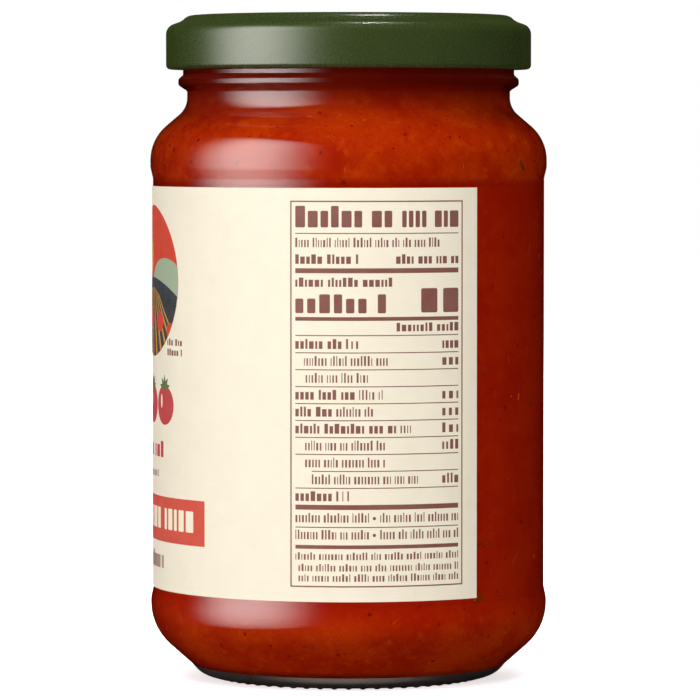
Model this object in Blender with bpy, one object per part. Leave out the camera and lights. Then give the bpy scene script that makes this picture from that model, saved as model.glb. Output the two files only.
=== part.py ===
"""Jar of tomato sauce: a lathe-round glass jar, the sauce in it, a twist-off metal lid and a
paper label that wraps two thirds of the way round.

Metres, +Z up. The origin is the middle of the foot, on the surface that the jar stands on.
The middle of the label's front faces -Y, and its fact table faces +X.
"""

import math
from collections import namedtuple

import bmesh
import bpy
from mathutils import Matrix, Vector

# Driving dimensions of the glass
BULGE_RADIUS = 0.03587
PANEL_RADIUS = 0.03536
WAIST_RADIUS = 0.02920
BEAD_RADIUS = 0.03080
FINISH_RADIUS = 0.02995
BORE_RADIUS = 0.02700
WALL = 0.00235
HEEL_RADIUS = 0.02666
RING_INNER_RADIUS = 0.02295
RIB_HEIGHT = 0.00030
RIB_COUNT = 60
GLASS_TOP = 0.11885

# Heights where the outside of the glass changes direction
KINK_HEIGHT = 0.00252
PANEL_BOTTOM = 0.01650
PANEL_TOP = 0.09035
BEAD_BOTTOM = 0.10605
BEAD_TOP = 0.10895

# Slopes of the straight flanks, as growth in radius for each metre of height
HEEL_SLOPE = 0.83
FOOT_SLOPE = 1.13
SHOULDER_SLOPE = 1.17

# Inside of the jar
FLOOR_HEIGHT = 0.00540
FLOOR_EDGE_HEIGHT = 0.00390
PUSH_UP_HEIGHT = 0.00300
SAUCE_LEVEL = 0.11200
SAUCE_CLEARANCE = 0.00030

# Lid
LID_TOP = 0.11970
LID_RADIUS = 0.03301
LID_BOTTOM = 0.10970
LID_SHEET = 0.00045
LID_PANEL_RADIUS = 0.02890
LID_GROOVE_RADIUS = 0.03035
LID_GROOVE_HEIGHT = 0.11850
LID_SHOULDER_HEIGHT = 0.11754
CURL_WIDTH = 0.00205
DISH_RADIUS = 0.01900
DISH_DEPTH = 0.00045

# Paper label
LABEL_BOTTOM = 0.01690
LABEL_TOP = 0.08910
LABEL_HALF_ANGLE = math.radians(120.8)
LABEL_CLEARANCE = 0.00016
LABEL_THICKNESS = 0.00010
LABEL_STEPS = 40

# Faceting: one facet of the glass for each rib under it, and arcs true to a tenth of a millimetre
FACETS = RIB_COUNT
ARC_SAG = 0.00010
FINE = 1e-6

Corner = namedtuple("Corner", "radius height fillet")


def clear_scene():
    """Starts from an empty scene."""
    for obj in list(bpy.data.objects):
        bpy.data.objects.remove(obj, do_unlink=True)


def finish_material(name, colour, roughness, metallic=0.0, transmission=0.0):
    """A Principled material of one colour."""
    material = bpy.data.materials.new(name)
    material.use_nodes = True
    shader = material.node_tree.nodes["Principled BSDF"]
    shader.inputs["Base Color"].default_value = (*colour, 1.0)
    shader.inputs["Roughness"].default_value = roughness
    shader.inputs["Metallic"].default_value = metallic
    shader.inputs["Transmission Weight"].default_value = transmission
    material.diffuse_color = (*colour, 1.0)
    return material


def rounded(corners):
    """The outline through the corners, with each corner turned by an arc of its fillet."""
    points = [Vector(corners[0][:2])]
    for before, corner, after in zip(corners, corners[1:], corners[2:]):
        here = Vector(corner[:2])
        back = (Vector(before[:2]) - here).normalized()
        ahead = (Vector(after[:2]) - here).normalized()
        turn = math.pi - back.angle(ahead)
        if not corner.fillet or turn < FINE:
            points.append(here)
            continue
        centre = here + (back + ahead).normalized() * corner.fillet / math.cos(turn / 2)
        arm = here + back * corner.fillet * math.tan(turn / 2) - centre
        side = math.copysign(1, back.x * ahead.y - back.y * ahead.x)
        step_angle = 2 * math.acos(1 - ARC_SAG / max(corner.fillet, ARC_SAG))
        steps = max(1, math.ceil(turn / step_angle))
        for step in range(steps + 1):
            points.append(centre + Matrix.Rotation(-side * turn * step / steps, 2) @ arm)
    points.append(Vector(corners[-1][:2]))
    return points


def inset(corners, distance):
    """The corners moved to the left of the way they run, so that each side shifts by distance."""
    moved = []
    for i, corner in enumerate(corners):
        here = Vector(corner[:2])
        sides = []
        if i > 0:
            sides.append((here - Vector(corners[i - 1][:2])).normalized())
        if i < len(corners) - 1:
            sides.append((Vector(corners[i + 1][:2]) - here).normalized())
        normals = [Vector((-side.y, side.x)) for side in sides]
        middle = sum(normals, Vector((0, 0))).normalized()
        place = here + middle * distance / middle.dot(normals[0])
        bend = sides[0].cross(sides[-1]) if len(sides) == 2 else 0
        fillet = corner.fillet - math.copysign(distance, bend) if corner.fillet else 0
        moved.append(Corner(place.x, place.y, max(fillet, 0)))
    return moved


def turned_mesh(outline):
    """A closed solid of revolution from an outline that starts and ends on the axis."""
    shape = bmesh.new()
    verts = [shape.verts.new((point.x, 0, point.y)) for point in outline]
    edges = [shape.edges.new(pair) for pair in zip(verts, verts[1:])]
    bmesh.ops.spin(
        shape,
        geom=verts + edges,
        cent=(0, 0, 0),
        axis=(0, 0, 1),
        angle=math.tau,
        steps=FACETS,
        use_merge=True,
    )
    bmesh.ops.remove_doubles(shape, verts=shape.verts, dist=FINE)
    bmesh.ops.recalc_face_normals(shape, faces=shape.faces)
    return shape


def add_object(name, shape, material):
    """Puts the shape in the scene as one named object, smooth where its faces meet gently."""
    mesh = bpy.data.meshes.new(name)
    shape.to_mesh(mesh)
    shape.free()
    mesh.materials.append(material)
    mesh.shade_smooth()
    mesh.set_sharp_from_angle(angle=math.radians(35))
    obj = bpy.data.objects.new(name, mesh)
    bpy.context.scene.collection.objects.link(obj)
    return obj


def foot_corners():
    """The underside, from the middle of the push-up out to the ring that the jar stands on."""
    return [
        Corner(0, RIB_HEIGHT + PUSH_UP_HEIGHT, 0),
        Corner(0.0190, RIB_HEIGHT + 0.0024, 0.0040),
        Corner(RING_INNER_RADIUS, RIB_HEIGHT, 0),
    ]


def outside_corners():
    """The outside of the glass, from the heel up to the finish under the lid."""
    kink_radius = HEEL_RADIUS + HEEL_SLOPE * (KINK_HEIGHT - RIB_HEIGHT)
    foot_meets_bulge = KINK_HEIGHT + (BULGE_RADIUS - kink_radius) / FOOT_SLOPE
    shoulder_top = 0.10302
    shoulder_meets_bulge = shoulder_top - (BULGE_RADIUS - WAIST_RADIUS) / SHOULDER_SLOPE
    return [
        Corner(HEEL_RADIUS, RIB_HEIGHT, 0.0043),
        Corner(kink_radius, KINK_HEIGHT, 0),
        Corner(BULGE_RADIUS, foot_meets_bulge, 0.0099),
        Corner(BULGE_RADIUS, PANEL_BOTTOM - 0.0022, 0.0040),
        Corner(PANEL_RADIUS, PANEL_BOTTOM, 0),
        Corner(PANEL_RADIUS, PANEL_TOP, 0),
        Corner(BULGE_RADIUS, PANEL_TOP + 0.0019, 0.0030),
        Corner(BULGE_RADIUS, shoulder_meets_bulge, 0.0081),
        Corner(WAIST_RADIUS, shoulder_top, 0.0040),
        Corner(WAIST_RADIUS, BEAD_BOTTOM, 0.0003),
        Corner(BEAD_RADIUS, BEAD_BOTTOM + 0.00105, 0.0007),
        Corner(BEAD_RADIUS, BEAD_TOP - 0.00075, 0.0007),
        Corner(FINISH_RADIUS, BEAD_TOP, 0),
        Corner(FINISH_RADIUS, GLASS_TOP, 0.0014),
    ]


def inside_corners():
    """The inside of the glass, from the middle of the floor up to the bore of the neck."""
    kink_radius = HEEL_RADIUS + HEEL_SLOPE * (KINK_HEIGHT - RIB_HEIGHT)
    foot = inset(
        [
            Corner(kink_radius, KINK_HEIGHT, 0),
            Corner(kink_radius + FOOT_SLOPE, KINK_HEIGHT + 1, 0),
        ],
        WALL,
    )[0]
    inner_radius = PANEL_RADIUS - WALL
    floor_radius = foot.radius + FOOT_SLOPE * (FLOOR_EDGE_HEIGHT - foot.height)
    wall_foot = foot.height + (inner_radius - foot.radius) / FOOT_SLOPE
    bore_foot = 0.10187
    wall_head = bore_foot - (inner_radius - BORE_RADIUS) / SHOULDER_SLOPE
    return [
        Corner(0, FLOOR_HEIGHT, 0),
        Corner(floor_radius, FLOOR_EDGE_HEIGHT, 0.0030),
        Corner(inner_radius, wall_foot, 0.0075),
        Corner(inner_radius, wall_head, 0.0062),
        Corner(BORE_RADIUS, bore_foot, 0.0055),
    ]


def split_ring_facets(shape):
    """Cuts each facet of the standing ring into thirds along the ring."""
    arcs = [
        edge
        for edge in shape.edges
        if all(abs(vert.co.z - RIB_HEIGHT) < FINE for vert in edge.verts)
        and abs(edge.verts[0].co.xy.length - edge.verts[1].co.xy.length) < FINE
    ]
    bmesh.ops.subdivide_edges(shape, edges=arcs, cuts=2, use_grid_fill=True)


def push_out_ribs(shape):
    """Pushes the middle third of each ring facet down, with drawn-in flanks, as the ribs."""
    middles = []
    pitch = math.tau / RIB_COUNT
    for face in shape.faces:
        if any(abs(vert.co.z - RIB_HEIGHT) > FINE for vert in face.verts):
            continue
        centre = face.calc_center_median()
        turn = math.atan2(centre.y, centre.x) / pitch
        if abs(turn - math.floor(turn) - 0.5) < 0.1:
            middles.append(face)
    for face in bmesh.ops.extrude_discrete_faces(shape, faces=middles)["faces"]:
        centre = face.calc_center_median()
        turn = Matrix.Rotation(-math.atan2(centre.y, centre.x), 4, "Z")
        bmesh.ops.scale(
            shape,
            vec=(0.80, 0.60, 1),
            space=turn @ Matrix.Translation(-centre),
            verts=face.verts,
        )
        bmesh.ops.translate(shape, vec=(0, 0, -RIB_HEIGHT), verts=face.verts)


def build_glass():
    """The jar: one thick glass wall, open at the mouth, on a ribbed standing ring."""
    lip = [Corner(BORE_RADIUS, GLASS_TOP, 0.0010)]
    corners = foot_corners() + outside_corners() + lip + inside_corners()[::-1]
    shape = turned_mesh(rounded(corners))
    split_ring_facets(shape)
    push_out_ribs(shape)
    glass = finish_material("clear_glass", (0.80, 0.84, 0.82), 0.03, transmission=1.0)
    return add_object("glass_jar", shape, glass)


def build_sauce():
    """The sauce: a solid that fills the jar up to its level in the neck, clear of the wall."""
    inside = inset(inside_corners(), SAUCE_CLEARANCE)
    bottom = Corner(0, inside[0].height, 0)
    rim = Corner(BORE_RADIUS - SAUCE_CLEARANCE, SAUCE_LEVEL, 0)
    corners = [bottom] + inside[1:] + [rim, Corner(0, SAUCE_LEVEL, 0)]
    red = finish_material("tomato_sauce", (0.42, 0.045, 0.004), 0.35)
    return add_object("sauce", turned_mesh(rounded(corners)), red)


def lid_outside():
    """The painted face of the lid, from the middle of its top down to its lower edge."""
    return [
        Corner(0, LID_TOP - DISH_DEPTH - 0.0002, 0),
        Corner(DISH_RADIUS - 0.0011, LID_TOP - DISH_DEPTH, 0),
        Corner(DISH_RADIUS, LID_TOP, 0),
        Corner(LID_PANEL_RADIUS, LID_TOP, 0.0012),
        Corner(LID_GROOVE_RADIUS, LID_GROOVE_HEIGHT, 0),
        Corner(LID_RADIUS, LID_SHOULDER_HEIGHT, 0.0022),
        Corner(LID_RADIUS - 0.00008, LID_BOTTOM, 0.0011),
    ]


def build_lid():
    """The lid: a drawn cap with a raised panel, a dished middle and a curled lower edge."""
    outside = lid_outside()
    curl_inner = LID_RADIUS - CURL_WIDTH
    skirt = LID_RADIUS - LID_SHEET
    under = inset(outside[:-1], -LID_SHEET)
    corners = (
        outside
        + [
            Corner(curl_inner, LID_BOTTOM, 0.0009),
            Corner(curl_inner, LID_BOTTOM + CURL_WIDTH, 0.0009),
            Corner(skirt, LID_BOTTOM + CURL_WIDTH + 0.0004, 0),
        ]
        + under[:0:-1]
        + [Corner(0, outside[0].height - LID_SHEET, 0)]
    )
    green = finish_material("green_lacquer", (0.055, 0.080, 0.022), 0.42, metallic=0.2)
    return add_object("lid", turned_mesh(rounded(corners)), green)


def build_label():
    """The label: a strip of paper bent round the panel, its open gap at the back."""
    inner = PANEL_RADIUS + LABEL_CLEARANCE
    outer = inner + LABEL_THICKNESS
    section = (
        (inner, LABEL_BOTTOM),
        (outer, LABEL_BOTTOM),
        (outer, LABEL_TOP),
        (inner, LABEL_TOP),
    )
    front = Matrix.Rotation(-math.pi / 2 - LABEL_HALF_ANGLE, 4, "Z")
    shape = bmesh.new()
    verts = [shape.verts.new(front @ Vector((radius, 0, z))) for radius, z in section]
    face = shape.faces.new(verts)
    bmesh.ops.spin(
        shape,
        geom=[face] + list(face.edges) + verts,
        cent=(0, 0, 0),
        axis=(0, 0, 1),
        angle=2 * LABEL_HALF_ANGLE,
        steps=LABEL_STEPS,
    )
    bmesh.ops.recalc_face_normals(shape, faces=shape.faces)
    paper = finish_material("cream_paper", (0.90, 0.83, 0.68), 0.75)
    return add_object("label", shape, paper)


def main():
    """Builds the whole jar."""
    clear_scene()
    build_glass()
    build_sauce()
    build_label()
    build_lid()


main()
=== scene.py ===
"""Looks of the tomato sauce jar: smooth glass, the sauce with what floats in it, a satin lid and a
printed paper label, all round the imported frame.

Every size is in millimetres unless its name says otherwise, and MM turns it into the frame's
metres. An angle round the jar is counted from the middle of the label's front, which faces -Y,
towards +X, so the label's fact table is at 90 degrees.
"""

import logging
import math
import random
from collections.abc import Iterator, Sequence
from dataclasses import dataclass
from enum import Enum

import bmesh
import bpy
from mathutils import Matrix, Vector


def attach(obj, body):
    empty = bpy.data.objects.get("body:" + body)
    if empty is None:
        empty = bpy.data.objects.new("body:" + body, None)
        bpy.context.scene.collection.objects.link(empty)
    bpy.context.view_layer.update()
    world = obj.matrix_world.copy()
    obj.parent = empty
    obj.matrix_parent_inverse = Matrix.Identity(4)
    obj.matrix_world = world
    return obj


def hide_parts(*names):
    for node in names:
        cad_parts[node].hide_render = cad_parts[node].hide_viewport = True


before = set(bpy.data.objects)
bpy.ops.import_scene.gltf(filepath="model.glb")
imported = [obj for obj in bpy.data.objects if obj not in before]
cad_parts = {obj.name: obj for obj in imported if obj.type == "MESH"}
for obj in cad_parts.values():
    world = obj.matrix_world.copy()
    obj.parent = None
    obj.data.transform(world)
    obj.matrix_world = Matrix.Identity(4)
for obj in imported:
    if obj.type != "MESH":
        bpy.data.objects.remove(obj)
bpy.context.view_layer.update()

LOG = logging.getLogger("jar")
MM = 0.001
BODY = "root"
FINE = 1e-7
LABEL_RADIUS = 35.54

Colour = tuple[float, float, float]
Socket = bpy.types.NodeSocket
Feed = Socket | float | tuple[float, ...]
Inputs = dict[str | int, Feed]
Faces = list[bmesh.types.BMFace]


class Slot(Enum):
    """The material slots."""

    GLASS = "clear_glass"
    SAUCE = "tomato_sauce"
    LACQUER = "green_lacquer"
    PAPER = "cream_paper"


def linear(red: int, green: int, blue: int) -> Colour:
    """Turns a screen colour, from 0 to 255, into the linear one that shaders take."""
    shares = (channel / 255 for channel in (red, green, blue))
    return tuple(s / 12.92 if s <= 0.04045 else ((s + 0.055) / 1.055) ** 2.4 for s in shares)


class Graph:
    """Adds nodes to one node tree and links them."""

    def __init__(self, tree: bpy.types.NodeTree) -> None:
        """Keeps the tree that the nodes go into."""
        self.tree = tree

    def feed(self, socket: Socket, value: Feed) -> None:
        """Links a socket to another, or sets its value.

        Args:
            socket: The input to feed.
            value: An output socket, a number or a colour.
        """
        if isinstance(value, bpy.types.NodeSocket):
            self.tree.links.new(value, socket)
        elif socket.type == "RGBA" and len(value) == 3:
            socket.default_value = (*value, 1.0)
        else:
            socket.default_value = value

    def fed(self, node: bpy.types.Node, inputs: Inputs) -> bpy.types.Node:
        """Feeds several inputs of a node.

        Args:
            node: The node.
            inputs: What feeds its inputs, by name or number.

        Returns:
            The node.
        """
        for key, value in inputs.items():
            self.feed(node.inputs[key], value)
        return node

    def add(self, kind: str, inputs: Inputs | None = None, **settings: object) -> bpy.types.Node:
        """Adds one node.

        Args:
            kind: The node's type name.
            inputs: What feeds its inputs, by name or number.
            **settings: Its other properties.

        Returns:
            The node.
        """
        node = self.tree.nodes.new(kind)
        for name, value in settings.items():
            setattr(node, name, value)
        return self.fed(node, inputs or {})

    def group(self, tree: bpy.types.NodeTree, **inputs: Feed) -> bpy.types.Node:
        """Places a node group, with what feeds its inputs."""
        return self.add("ShaderNodeGroup", inputs, node_tree=tree)

    def place(self) -> Socket:
        """The object coordinates of the point that is shaded."""
        return self.add("ShaderNodeTexCoord").outputs["Object"]

    def sum(self, operation: str, *values: Feed, clamp: bool = False) -> Socket:
        """The result of a Math node, kept from 0 to 1 where clamp says so."""
        inputs = dict(enumerate(values))
        return self.add("ShaderNodeMath", inputs, operation=operation, use_clamp=clamp).outputs[0]

    def noise(self, vector: Socket, size: float, detail: float = 2.0, rough: float = 0.5) -> Socket:
        """Cloudy noise, about 0.5 on average, with features of a size in millimetres."""
        inputs = {"Vector": vector, "Scale": 1 / (size * MM), "Detail": detail, "Roughness": rough}
        return self.add("ShaderNodeTexNoise", inputs).outputs["Fac"]

    def axes(self, vector: Socket) -> bpy.types.NodeOutputs:
        """The X, Y and Z of a vector."""
        return self.add("ShaderNodeSeparateXYZ", {"Vector": vector}).outputs

    def facing(self) -> Socket:
        """How far the surface turns from the view, from 0 to 1."""
        return self.add("ShaderNodeLayerWeight", {"Blend": 0.5}).outputs["Facing"]

    def rise(
        self, value: Socket, low: float, high: float, start: float = 0.0, end: float = 1.0
    ) -> Socket:
        """A smooth rise from start to end while the value goes from low to high."""
        inputs = {"Value": value, "From Min": low, "From Max": high, "To Min": start, "To Max": end}
        return self.add("ShaderNodeMapRange", inputs, interpolation_type="SMOOTHSTEP").outputs["Result"]

    def mix(self, share: Feed, low: Feed, high: Feed) -> Socket:
        """A mix of two colours, with this share of the second one."""
        node = self.add("ShaderNodeMix", data_type="RGBA")
        return self.fed(node, {0: share, 6: low, 7: high}).outputs[2]

    def bump(self, height: Socket, depth: float) -> Socket:
        """A normal from a height that runs from 0 to 1, with its depth in millimetres."""
        return self.add("ShaderNodeBump", {"Height": height, "Distance": depth * MM}).outputs["Normal"]


def new_group(name: str) -> tuple[Graph, Socket, bpy.types.Node]:
    """Starts a group for something uneven, with input Size and outputs Height and Cloud.

    Args:
        name: The group's name.

    Returns:
        The graph, its input for a size in metres, and the node that takes its outputs.
    """
    tree = bpy.data.node_groups.new(name, "ShaderNodeTree")
    tree.interface.new_socket(name="Size", in_out="INPUT", socket_type="NodeSocketFloat")
    for label in ("Height", "Cloud"):
        tree.interface.new_socket(name=label, in_out="OUTPUT", socket_type="NodeSocketFloat")
    graph = Graph(tree)
    return graph, graph.add("NodeGroupInput").outputs["Size"], graph.add("NodeGroupOutput")


def grain_group(coarser: float = 24.0) -> bpy.types.NodeTree:
    """Fine and coarse unevenness of a surface, for bump, roughness and slight changes of tone.

    Args:
        coarser: How much larger the coarse noise is.

    Returns:
        The group.
    """
    graph, size, leave = new_group("surface_grain")
    where = graph.place()
    scale = graph.sum("DIVIDE", 1.0, size)
    coarse_scale = graph.sum("DIVIDE", scale, coarser)
    for label, noise_scale, detail in (("Height", scale, 3.0), ("Cloud", coarse_scale, 2.0)):
        inputs = {"Vector": where, "Scale": noise_scale, "Detail": detail}
        graph.feed(leave.inputs[label], graph.add("ShaderNodeTexNoise", inputs).outputs["Fac"])
    return graph.tree


def laid_group(
    wander: float = 2.6, rib_share: float = 0.45, cloud_share: float = 0.45
) -> bpy.types.NodeTree:
    """The level ribs and the fibres of laid paper, which also show through ink.

    Args:
        wander: How many ribs' widths the ribs wander.
        rib_share: How much of the height is ribs; the rest is fibres.
        cloud_share: How much of the tone is cloudy; the rest is the height.

    Returns:
        The group.
    """
    graph, pitch, leave = new_group("laid_paper")
    where = graph.place()
    x, y, z = graph.axes(where)
    along = graph.sum("MULTIPLY", graph.sum("ARCTAN2", y, x), LABEL_RADIUS * MM)
    drift = graph.sum("MULTIPLY", graph.noise(where, 3.0, 3.0, 0.6), wander)
    phase = graph.sum("ADD", graph.sum("DIVIDE", z, pitch), drift)
    wave = graph.sum("SINE", graph.sum("MULTIPLY", phase, math.tau))
    ribs = graph.sum("MULTIPLY", graph.sum("MULTIPLY_ADD", wave, 0.5, 0.5), rib_share)
    flat = graph.add("ShaderNodeCombineXYZ", {"X": graph.sum("MULTIPLY", along, 0.22), "Z": z})
    fibres = graph.noise(flat.outputs["Vector"], 0.16, 4.0, 0.65)
    height = graph.sum("MULTIPLY_ADD", fibres, 1 - rib_share, ribs)
    cloud = graph.noise(where, 4.0, 3.0, 0.6)
    body = graph.sum("MULTIPLY", height, 1 - cloud_share)
    graph.feed(leave.inputs["Height"], height)
    graph.feed(leave.inputs["Cloud"], graph.sum("MULTIPLY_ADD", cloud, cloud_share, body))
    return graph.tree


@dataclass(frozen=True)
class Finish:
    """What every finish shares: a Principled material over a group that makes it uneven.

    Its grain is the size of that group's finest features.
    """

    name: str
    grain: float = 0.3

    def looks(self, graph: Graph, height: Socket, cloud: Socket) -> Inputs:
        """What feeds the shader, from the group's fine height and its coarse cloud."""
        raise NotImplementedError

    def build(self, pattern: bpy.types.NodeTree) -> bpy.types.Material:
        """Makes the material.

        Args:
            pattern: The group that makes it uneven.

        Returns:
            The material.
        """
        material = bpy.data.materials.new(self.name)
        material.use_nodes = True
        graph = Graph(material.node_tree)
        uneven = graph.group(pattern, Size=self.grain * MM)
        looks = self.looks(graph, uneven.outputs["Height"], uneven.outputs["Cloud"])
        graph.fed(material.node_tree.nodes["Principled BSDF"], {"Metallic": 0.0} | looks)
        return material


@dataclass(frozen=True)
class GlassFinish(Finish):
    """Clear soda-lime glass, very slightly uneven, as moulded jars are."""

    name: str = "clear_glass"
    grain: float = 9.0
    colour: Colour = (0.965, 0.975, 0.965)
    pale: Colour = (0.985, 0.985, 0.98)
    wave_depth: float = 0.004

    def looks(self, graph: Graph, height: Socket, cloud: Socket) -> Inputs:
        """Clear, smooth and hardly tinted.

        Args:
            graph: The material's graph.
            height: The group's fine height.
            cloud: The group's coarse cloud.

        Returns:
            What feeds the shader.
        """
        return {
            "Transmission Weight": 1.0,
            "IOR": 1.5,
            "Base Color": graph.mix(cloud, self.colour, self.pale),
            "Roughness": graph.rise(height, 0.3, 0.8, 0.0, 0.02),
            "Normal": graph.bump(height, self.wave_depth),
        }


@dataclass(frozen=True)
class StippleFinish(Finish):
    """The roughened glass of the standing ring, grey with the light that it scatters, with painted
    shade where it is seen at a slant.
    """

    name: str = "stippled_glass"
    grain: float = 0.45
    colour: Colour = (0.52, 0.46, 0.40)
    shade: Colour = (0.34, 0.30, 0.26)
    # painted shade: the colour that the ring turns to where it is seen at a slant
    edge: Colour = (0.05, 0.044, 0.040)
    grain_depth: float = 0.05

    def looks(self, graph: Graph, height: Socket, cloud: Socket) -> Inputs:
        """Rough and grey, with painted shade where it is seen at a slant.

        Args:
            graph: The material's graph.
            height: The group's fine height.
            cloud: The group's coarse cloud.

        Returns:
            What feeds the shader.
        """
        glass = graph.mix(height, self.shade, self.colour)
        return {
            "Transmission Weight": 0.15,
            "IOR": 1.5,
            # painted shade: the colour darkens towards the edge colour where the ring is seen at a
            # slant
            "Base Color": graph.mix(graph.rise(graph.facing(), 0.18, 0.50), glass, self.edge),
            "Roughness": graph.rise(cloud, 0.3, 0.7, 0.25, 0.4),
            "Normal": graph.bump(height, self.grain_depth),
        }


@dataclass(frozen=True)
class SauceFinish(Finish):
    """Cooked tomato: orange-red, mottled with deeper red, dotted with dark skin and paler pulp.

    Behind the straight wall it is darkened to a deeper red, a painted shade, and in the neck it
    darkens towards the lid, a painted shadow of the lid.
    """

    name: str = "tomato_sauce"
    bright: Colour = (0.455, 0.033, 0.0001)
    deep: Colour = (0.32, 0.0095, 0.0001)
    pulp: Colour = (0.54, 0.064, 0.0005)
    dot: Colour = (0.14, 0.003, 0.0002)
    # painted shade: the deeper red of the sauce behind the straight wall
    wall: Colour = (0.31, 0.0060, 0.0001)
    # painted shadow of the lid: the dark red of the sauce in the neck
    film: Colour = (0.11, 0.0015, 0.0001)
    mottle_size: float = 9.0
    streak_size: float = 2.2
    dot_pitch: float = 1.4
    # the heights between which the painted shade behind the straight wall lies
    wall_foot: tuple[float, float] = (10.0, 15.0)
    wall_head: tuple[float, float] = (89.4, 90.6)
    # the heights over which the painted shadow of the lid darkens the neck
    painted_lid_shadow_rise: tuple[float, float] = (101.0, 108.2)

    def looks(self, graph: Graph, height: Socket, cloud: Socket) -> Inputs:
        """Lays each colour over those before it, and then paints shade over them by height in the jar.

        Args:
            graph: The material's graph.
            height: The group's fine height.
            cloud: The group's coarse cloud.

        Returns:
            What feeds the shader.
        """
        where = graph.place()
        up = graph.sum("DIVIDE", graph.axes(where)["Z"], MM)
        mottle = graph.noise(where, self.mottle_size, 4.0, 0.65)
        streak = graph.noise(where, self.streak_size, 3.0, 0.6)
        voronoi = {"Vector": where, "Scale": 1 / (self.dot_pitch * MM)}
        dots = graph.add("ShaderNodeTexVoronoi", voronoi).outputs
        near = graph.rise(dots["Distance"], 0.07, 0.16, 1.0, 0.0)
        chance = graph.add("ShaderNodeSeparateColor", {"Color": dots["Color"]}).outputs["Red"]
        above = graph.rise(up, *self.wall_foot)
        colour = self.bright
        for share, over in (
            (graph.rise(mottle, 0.34, 0.68), self.deep),
            (graph.rise(streak, 0.5, 0.78, 0.0, 0.6), self.pulp),
            (graph.sum("MULTIPLY", near, graph.rise(chance, 0.45, 0.95, 0.0, 0.7)), self.dot),
            (graph.rise(height, 0.36, 0.64, 0.0, 0.5), self.deep),
            # painted shade: darkens the sauce between the heel and the shoulder, behind the straight
            # wall
            (graph.sum("MULTIPLY", above, graph.rise(up, *self.wall_head, 0.7, 0.0)), self.wall),
            # painted shadow of the lid: darkens the sauce in the neck towards the lid
            (graph.rise(up, *self.painted_lid_shadow_rise, 0.0, 0.88), self.film),
        ):
            colour = graph.mix(share, colour, over)
        roughness = graph.rise(cloud, 0.3, 0.7, 0.45, 0.65)
        return {"Specular IOR Level": 0.02, "Base Color": colour, "Roughness": roughness}


@dataclass(frozen=True)
class BitFinish(Finish):
    """Something solid in the sauce, with the sauce's red showing on it in patches."""

    grain: float = 0.5
    colour: Colour = (0.1, 0.1, 0.1)
    film: Colour = (0.30, 0.02, 0.001)
    covered: float = 0.5
    patch_size: float = 1.4

    def looks(self, graph: Graph, height: Socket, cloud: Socket) -> Inputs:
        """Its own colour under a patchy film of sauce.

        Args:
            graph: The material's graph.
            height: The group's fine height.
            cloud: The group's coarse cloud, which has no use here.

        Returns:
            What feeds the shader.
        """
        patch = graph.rise(graph.noise(graph.place(), self.patch_size, 3.0), 0.35, 0.65)
        cover = graph.sum("MULTIPLY", patch, self.covered * 1.6, clamp=True)
        return {
            "Specular IOR Level": 0.02,
            "Base Color": graph.mix(cover, self.colour, self.film),
            "Roughness": graph.rise(height, 0.3, 0.7, 0.5, 0.7),
        }


@dataclass(frozen=True)
class LacquerFinish(Finish):
    """Satin green lacquer on tinplate, with the fine orange peel of a rolled coat."""

    name: str = "green_lacquer"
    grain: float = 0.28
    colour: Colour = (0.039, 0.057, 0.0140)
    shade: Colour = (0.034, 0.050, 0.0120)
    gloss: float = 0.55
    peel_depth: float = 0.008

    def looks(self, graph: Graph, height: Socket, cloud: Socket) -> Inputs:
        """Satin, and matt where it is seen at a slant.

        Args:
            graph: The material's graph.
            height: The group's fine height.
            cloud: The group's coarse cloud.

        Returns:
            What feeds the shader.
        """
        return {
            "Specular IOR Level": graph.rise(graph.facing(), 0.45, 0.72, self.gloss, 0.0),
            "Base Color": graph.mix(cloud, self.colour, self.shade),
            "Roughness": graph.rise(height, 0.3, 0.7, 0.22, 0.32),
            "Normal": graph.bump(height, self.peel_depth),
        }


@dataclass(frozen=True)
class PaperFinish(Finish):
    """Laid paper, bare or under a coat of ink that lets its ribs and fibres show."""

    name: str = "cream_paper"
    grain: float = 0.31
    colour: Colour = (0.95, 0.868, 0.700)
    shade: Colour = (0.900, 0.815, 0.645)
    rib_depth: float = 0.014

    def looks(self, graph: Graph, height: Socket, cloud: Socket) -> Inputs:
        """Matt, and darker where the paper dips.

        Args:
            graph: The material's graph.
            height: The group's fine height.
            cloud: The group's coarse cloud.

        Returns:
            What feeds the shader.
        """
        return {
            "Specular IOR Level": 0.25,
            "Base Color": graph.mix(graph.rise(cloud, 0.30, 0.70), self.shade, self.colour),
            "Roughness": graph.rise(height, 0.2, 0.8, 0.82, 0.68),
            "Normal": graph.bump(height, self.rib_depth),
        }


def ink(name: str, colour: Colour, bare: float = 0.05) -> PaperFinish:
    """Ink on the label's paper: its colour, and one with some bare paper in it for the dips."""
    worn = tuple(c * (1 - bare) + p * bare for c, p in zip(colour, PaperFinish.colour))
    return PaperFinish(name=name, colour=colour, shade=worn, rib_depth=0.006)


@dataclass(frozen=True)
class Corner:
    """A corner of an outline, with the radius of the arc that turns it."""

    radius: float
    height: float
    fillet: float = 0.0

    @property
    def point(self) -> Vector:
        """The corner's place in the outline's plane."""
        return Vector((self.radius, self.height))


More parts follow.
